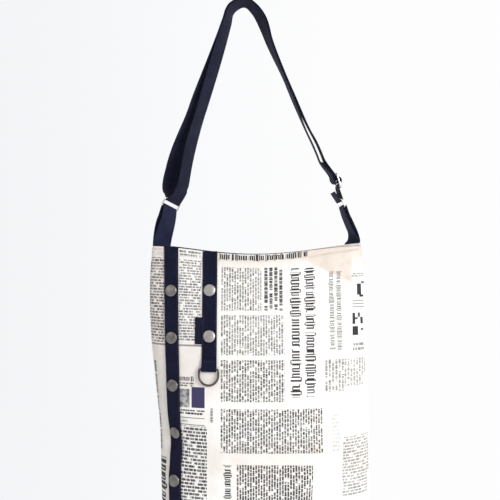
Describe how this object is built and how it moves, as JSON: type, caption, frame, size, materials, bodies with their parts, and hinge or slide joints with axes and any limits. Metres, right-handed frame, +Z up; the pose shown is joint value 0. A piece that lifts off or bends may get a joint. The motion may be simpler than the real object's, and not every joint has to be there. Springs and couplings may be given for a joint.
{
  "type": "newsprint-patterned canvas shoulder bag",
  "caption": "Open-topped canvas shoulder bag with a newsprint pattern, navy webbing bands set with snap caps, a hanging D-ring and an adjustable doubled webbing strap.",
  "frame": {"origin": "The hang point: the middle of the strap's underside at the top of its arch, where a peg holds it.", "axes": "+Z up; -Y is the bag's front, with the bands and snaps, and +Y its back; +X is to the right of a viewer who faces the front."},
  "size_m": [0.302, 0.0791, 0.7104],
  "materials": {
    "print": "printed canvas",
    "webbing": "ribbed navy webbing",
    "nickel": "polished nickel",
    "aged_nickel": "antique nickel"
  },
  "bodies": {
    "bag": {"front_panel": "print", "front_top_band": "print", "back_panel": "print", "back_top_band": "print", "long_band": "webbing", "short_band": "webbing", "side_label": "webbing", "long_band_snap_1": "aged_nickel", "long_band_snap_2": "aged_nickel", "long_band_snap_3": "aged_nickel", "long_band_snap_4": "aged_nickel", "long_band_snap_5": "aged_nickel", "short_band_snap_1": "aged_nickel", "short_band_snap_2": "aged_nickel", "strap": "webbing", "left_ring": "nickel", "right_ring": "nickel", "slider": "nickel", "left_tab": "webbing", "right_tab": "webbing"},
    "d_ring": {"d_ring": "aged_nickel"}
  },
  "joints": [
    {"name": "d_ring_swing", "type": "hinge", "parent": "bag", "child": "d_ring", "pos_m": [-0.04648, -0.0446, -0.49542], "axis": [-0.991, 0.1338, 0], "range_deg": [0, 150]}
  ]
}
